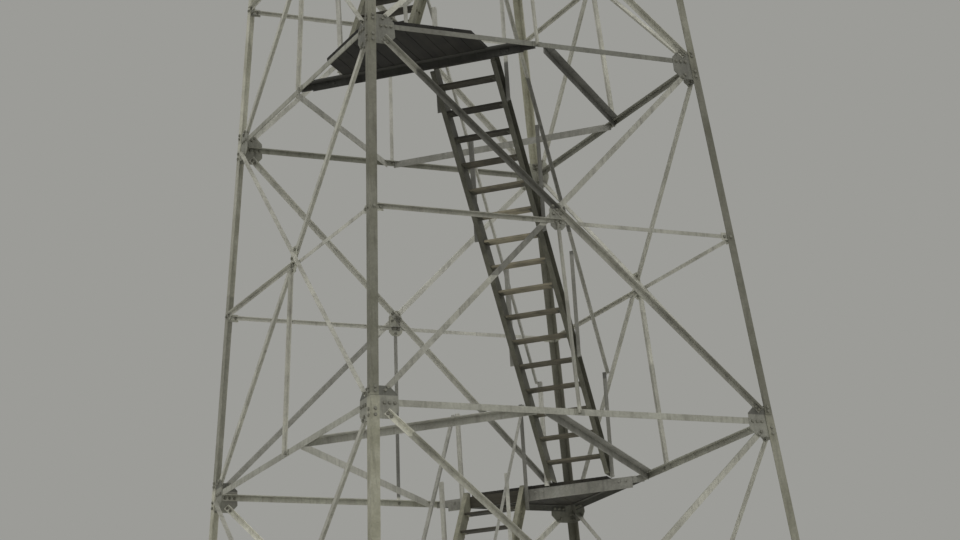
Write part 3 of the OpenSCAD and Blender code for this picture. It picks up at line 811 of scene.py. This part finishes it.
# Cab. A boarded box on the tower's head, with two glazed sashes in each wall.
# Weatherboards, corner boards and casings carry an old pale grey paint, thin along the grain.
def worn_paint(name, paint, chalky, bare):
    """Old oil paint on boards, chalked by the sun and worn through to grey wood in places."""
    material = bpy.data.materials.new(name)
    material.use_nodes = True
    tree = material.node_tree
    shader = tree.nodes["Principled BSDF"]
    place = add(tree, "ShaderNodeTexCoord").outputs["Object"]
    cloud = add(tree, "ShaderNodeTexNoise", {"Vector": place, "Scale": 3.0, "Detail": 4.0})
    fade = add(tree, "ShaderNodeMapRange", {"Value": cloud.outputs[0], "From Min": 0.38, "From Max": 0.64})
    first = add(
        tree, "ShaderNodeMix", {0: fade.outputs[0], 6: linear(paint), 7: linear(chalky)}, data_type="RGBA"
    )
    # Paint flakes off in strips of 5 to 10 mm along the boards
    drawn = add(tree, "ShaderNodeMapping", {"Vector": place, "Scale": (5.0, 5.0, 90.0)})
    flakes = add(
        tree,
        "ShaderNodeTexNoise",
        {"Vector": drawn.outputs[0], "Scale": 1.0, "Detail": 6.0, "Roughness": 0.65},
    )
    gone = add(tree, "ShaderNodeMapRange", {"Value": flakes.outputs[0], "From Min": 0.60, "From Max": 0.66})
    tone = add(
        tree, "ShaderNodeMix", {0: gone.outputs[0], 6: first.outputs[2], 7: linear(bare)}, data_type="RGBA"
    )
    tree.links.new(tone.outputs[2], shader.inputs["Base Color"])
    dry = add(tree, "ShaderNodeMapRange", {"Value": gone.outputs[0], "To Min": 0.55, "To Max": 0.85})
    tree.links.new(dry.outputs[0], shader.inputs["Roughness"])
    film = add(tree, "ShaderNodeMath", {0: 1.0, 1: gone.outputs[0]}, operation="SUBTRACT")
    bump = add(tree, "ShaderNodeBump", {"Height": film.outputs[0], "Strength": 0.6, "Distance": 0.001})
    tree.links.new(bump.outputs[0], shader.inputs["Normal"])
    return material


# Brushed oil paint over boards, chalky and flaked along the grain
cab_paint = worn_paint("worn_grey_oil_paint", "#B4B5AC", "#A4A59C", "#77746A")
cab_w, cab_h, wall_t, cab_boards = 2.28, 2.05, 0.060, []
cab_z = deck_bottom(panels) + deck_t
sill_h, window_h, window_post = 0.95, 0.85, 0.110
window_w = (cab_w - 2 * wall_t - 3 * window_post) / 2
outer = -cab_w / 2
trim_w, trim_t, wall_top = 0.100, 0.020, 2.014
field = cab_w / 2 - trim_w


def on_cab(x0, x1, z0, z1, thick, worn=0.002):
    """A board on the south wall, between two places along it and two heights above its floor."""
    cab_boards.append(
        plank((x1 - x0, thick, z1 - z0), worn, ((x0 + x1) / 2, outer - thick / 2, cab_z + (z0 + z1) / 2))
    )


sill_t, sill_depth, casing_w = 0.030, 0.045, 0.070
skirt_t, skirt_low, skirt_top = 0.024, -0.055, 0.030
lap_h, lap_t, laps = 0.135, 0.008, 8
lap_step = (sill_h - sill_t) / laps
lap_tilt = lap_t / lap_step
for i in range(laps):
    high = min(lap_h, sill_h - i * lap_step)
    board = plank((2 * field, lap_t, high), 0.002)
    lift = Matrix.Translation((0, outer - lap_t / 2 - lap_tilt * high / 2, cab_z + i * lap_step + high / 2))
    board.data.transform(lift @ Matrix.Rotation(-lap_tilt, 4, "X"))
    cab_boards.append(board)
head_h = sill_h + window_h
on_cab(outer - trim_t, outer + trim_w, skirt_top, wall_top, trim_t)
on_cab(field, -outer, skirt_top, wall_top, trim_t)
on_cab(-field, field, head_h + casing_w, wall_top, trim_t)
on_cab(-field, field, head_h, head_h + casing_w, trim_t + 0.004)
on_cab(-field, field, sill_h - sill_t, sill_h, sill_depth, 0.004)
for x0, x1 in (
    (-field, -field + casing_w),
    (-window_post / 2, window_post / 2),
    (field - casing_w, field),
):
    on_cab(x0, x1, sill_h, head_h, trim_t)
on_cab(outer - skirt_t, -outer, skirt_low, skirt_top, skirt_t)
wall = join(cab_boards, "wall")
spins = [Matrix.Rotation(math.radians(90 * side), 4, "Z") for side in range(4)]
dress(copies(wall, spins, "cab_weatherboards"), cab_paint, "cab_boards")
bpy.data.objects.remove(wall)
finish(["cab_%s_wall" % n for n in face_names] + ["cab_sashes"], cab_paint)

sash_w, bar_w, bar_t, bar_set = 0.045, 0.022, 0.020, 0.030
bars = []
for middle in (-(window_post + window_w) / 2, (window_post + window_w) / 2):
    y, z = outer + bar_set, cab_z + sill_h + window_h / 2
    bars.append(plank((bar_w, bar_t, window_h - 2 * sash_w), 0.003, (middle, y, z)))
    bars.append(plank((window_w - 2 * sash_w, bar_t, bar_w), 0.003, (middle, y, z)))
bars = join(bars, "bars")
dress(copies(bars, spins, "cab_sash_bars"), cab_paint, "cab_boards")
bpy.data.objects.remove(bars)

# Drawn window glass, clear with a cool tint and a sharp reflection
glass = bpy.data.materials.new("window_glass")
glass.use_nodes = True
shader = glass.node_tree.nodes["Principled BSDF"]
shader.inputs["Base Color"].default_value = linear("#DDE6E4")
shader.inputs["Roughness"].default_value = 0.03
shader.inputs["Transmission Weight"].default_value = 1.0
shader.inputs["IOR"].default_value = 1.45
finish(["cab_glazing"], glass)


# Cab floor. Square-edged boards on the joists, with the stair opening sawn out of them.
# Its underside, which is what shows from the ground, has gone as dark as the landings.
floor_boards = 19
floor_w = cab_w / floor_boards
master = plank((cab_w, floor_w - 0.003, deck_t), 0.002)
places = [
    Matrix.Translation((0, outer + (i + 0.5) * floor_w, deck_bottom(panels) + deck_t / 2))
    for i in range(floor_boards)
]
piece = copies(master, places, "cab_floor_boards")
bpy.data.objects.remove(master)
hatch_l, hatch_clear = 0.82, 0.018
hatch = (flight_w + 2 * hatch_clear, hatch_l, 0.2)
carve(piece, hatch, (0, hatch_end - hatch_l / 2, deck_bottom(panels)), on_flight(panels))
floor_turn = (0, 0, math.radians(90))
# Bare sawn softwood, drier than the landings and a little lighter
floor_wood = bare_wood("weathered_floor_board", "#544F44", "#3D3A31", "#2B2924", floor_w, floor_turn)
dress(piece, floor_wood, "old_planks", "cab_floor")


# Roof. Boards along the eaves under flat galvanised sheets, joined by seams that stand up.
# Folded caps close the hips and the point; the sheets have dulled and streaked below the seams.
eave, roof_h, roof_t = 0.160, 0.560, 0.030
roof_half = cab_w / 2 + eave
pitch = math.atan2(roof_h, roof_half)
slope_l = roof_half / math.cos(pitch)
eave_z = cab_z + cab_h - (eave + wall_t) * math.tan(pitch) + roof_t / math.cos(pitch)
on_roof = Matrix.Translation((0, -roof_half, eave_z)) @ Matrix.Rotation(pitch, 4, "X")


def hipped(pieces, name):
    """Joins what lies on the south slope, mitres it at the hips and copies it to all four."""
    part = join(pieces, name)
    part.data.transform(on_roof)
    for hand in (-1, 1):
        slice_off(part, (0, 0, 0), (hand, 1, 0))
    whole = copies(part, spins, name)
    bpy.data.objects.remove(part)
    return whole


board_t, roof_boards, spare = 0.016, 12, 0.1
course = slope_l / roof_boards
under = []
for i in range(roof_boards):
    wide = 2 * roof_half * (1 - i / roof_boards) + spare
    middle = (0, (i + 0.5) * course, board_t / 2 - roof_t)
    under.append(plank((wide, course - 0.003, board_t), 0.002, middle))
roof_turn = (0, math.radians(90), 0)
# Bare sawn softwood, sheltered and still brown
roof_wood = bare_wood(
    "weathered_roof_board",
    "#5A554A",
    "#423F36",
    "#302D27",
    course * math.sin(pitch),
    roof_turn,
    (60, 2.4, 2.4),
)
under = hipped(under, "roof_under_boards")
dress(under, roof_wood, "roof_boards", "cab_roof")

sheet_z, sheet_t, lip_h = board_t - roof_t, 0.003, 0.022
on_sheet = sheet_z + 0.0085
cover = [
    plank(
        (2 * roof_half + spare, slope_l, sheet_t), 0.0005, (0, slope_l / 2, sheet_z + sheet_t / 2)
    ),
    plank((2 * roof_half + spare, sheet_t, lip_h), 0.0005, (0, sheet_t / 2, -0.0165)),
]
seam_pitch, seam_w, seam_h = 0.325, 0.010, 0.011
for i in range(-3, 4):
    length = slope_l * (1 - abs(i) * seam_pitch / roof_half) - 0.03
    cover.append(
        plank((seam_w, length, seam_h), 0.002, (i * seam_pitch, length / 2 + 0.002, on_sheet))
    )
cap_w, cap_t = 0.075, 0.010
hip_l = math.hypot(roof_half, slope_l)
for hand in (-1, 1):
    strip = plank((2 * cap_w, hip_l, cap_t), 0.002, (0, hip_l / 2, on_sheet))
    tilt = math.atan2(roof_half, slope_l)
    strip.data.transform(
        Matrix.Translation((-hand * roof_half, 0, 0)) @ Matrix.Rotation(-hand * tilt, 4, "Z")
    )
    cover.append(strip)
sheet = hipped(cover, "roof_sheets")
# Galvanised flat sheet, rolled thin and weathered to a dull grey
roof_sheet = galvanised("weathered_roof_sheet", "#7C7D75", "#67675E", "#504F46")
dress(sheet, roof_sheet, "galvanised_steel")

for master in (bolt, nut):
    bpy.data.objects.remove(master)


# Camera. It stands a little below the tower's foot and looks up, tilted to the left.
azimuth, elevation, roll = math.radians(26.38117), 0.28808385, -0.06400455
forward = Vector(
    (math.sin(azimuth) * math.cos(elevation), math.cos(azimuth) * math.cos(elevation), math.sin(elevation))
)
level = Vector((math.cos(azimuth), -math.sin(azimuth), 0))
upward = level.cross(forward)
right = level * math.cos(roll) + upward * math.sin(roll)
up = upward * math.cos(roll) - level * math.sin(roll)
lens = bpy.data.cameras.new("camera")
focal_px, picture_px = 2507.752, 960
lens.sensor_width = 36
lens.lens = focal_px / picture_px * lens.sensor_width
lens.clip_end = 500
camera = bpy.data.objects.new("camera", lens)
bpy.context.scene.collection.objects.link(camera)
view = Matrix((right, up, -forward)).transposed().to_4x4()
stand = (-10.46722, -21.30855, -0.97379)
camera.matrix_world = Matrix.Translation(stand) @ view
bpy.context.scene.camera = camera


# Light. An overcast sky, brightest overhead, and one wide soft lamp from the front left.
world = bpy.data.worlds.new("overcast")
bpy.context.scene.world = world
world.use_nodes = True
tree = world.node_tree
tree.nodes.clear()
direction = add(tree, "ShaderNodeTexCoord").outputs["Generated"]
rise = add(tree, "ShaderNodeSeparateXYZ", {"Vector": direction}).outputs["Z"]
horizon = add(
    tree,
    "ShaderNodeMapRange",
    {"Value": rise, "From Min": -0.04, "From Max": 0.06, "To Min": 0.30, "To Max": 0.90},
)
zenith = add(
    tree, "ShaderNodeMapRange", {"Value": rise, "From Min": 0.12, "From Max": 0.9, "To Max": 0.15}
)
dome = add(tree, "ShaderNodeMath", {0: horizon.outputs[0], 1: zenith.outputs[0]})
rays = add(tree, "ShaderNodeLightPath")
seen = add(
    tree,
    "ShaderNodeMath",
    {0: rays.outputs["Is Camera Ray"], 1: rays.outputs["Is Glossy Ray"]},
    operation="MAXIMUM",
)
clear = add(
    tree,
    "ShaderNodeMath",
    {0: seen.outputs[0], 1: rays.outputs["Is Transmission Ray"]},
    operation="MAXIMUM",
)
light = add(tree, "ShaderNodeBackground", {"Color": (1, 1, 1, 1), "Strength": dome.outputs[0]})
backdrop = add(tree, "ShaderNodeBackground", {"Color": linear("#9C9C98"), "Strength": 1.0})
both = add(tree, "ShaderNodeMixShader", {0: clear.outputs[0], 1: light.outputs[0], 2: backdrop.outputs[0]})
add(tree, "ShaderNodeOutputWorld", {"Surface": both.outputs[0]})

lamp = bpy.data.lights.new("soft_key", "SUN")
lamp.energy = 0.5
lamp.angle = math.radians(80)
key = bpy.data.objects.new("soft_key", lamp)
key.matrix_world = Matrix.Rotation(math.radians(-20), 4, "Z") @ Matrix.Rotation(math.radians(50), 4, "X")
bpy.context.scene.collection.objects.link(key)

bpy.ops.object.select_all(action="DESELECT")
bpy.ops.mesh.primitive_circle_add(vertices=96, radius=13, fill_type="NGON", location=(0, 0, -0.001))
floor = bpy.context.active_object
floor.name = "floor"
ground_paint = bpy.data.materials.new("pale_floor")
ground_paint.use_nodes = True
tree = ground_paint.node_tree
shader = tree.nodes["Principled BSDF"]
shader.inputs["Roughness"].default_value = 0.95
shader.inputs["Base Color"].default_value = linear("#D2D2CD")
floor.data.materials.append(ground_paint)

bpy.context.scene.view_settings.view_transform = "Standard"
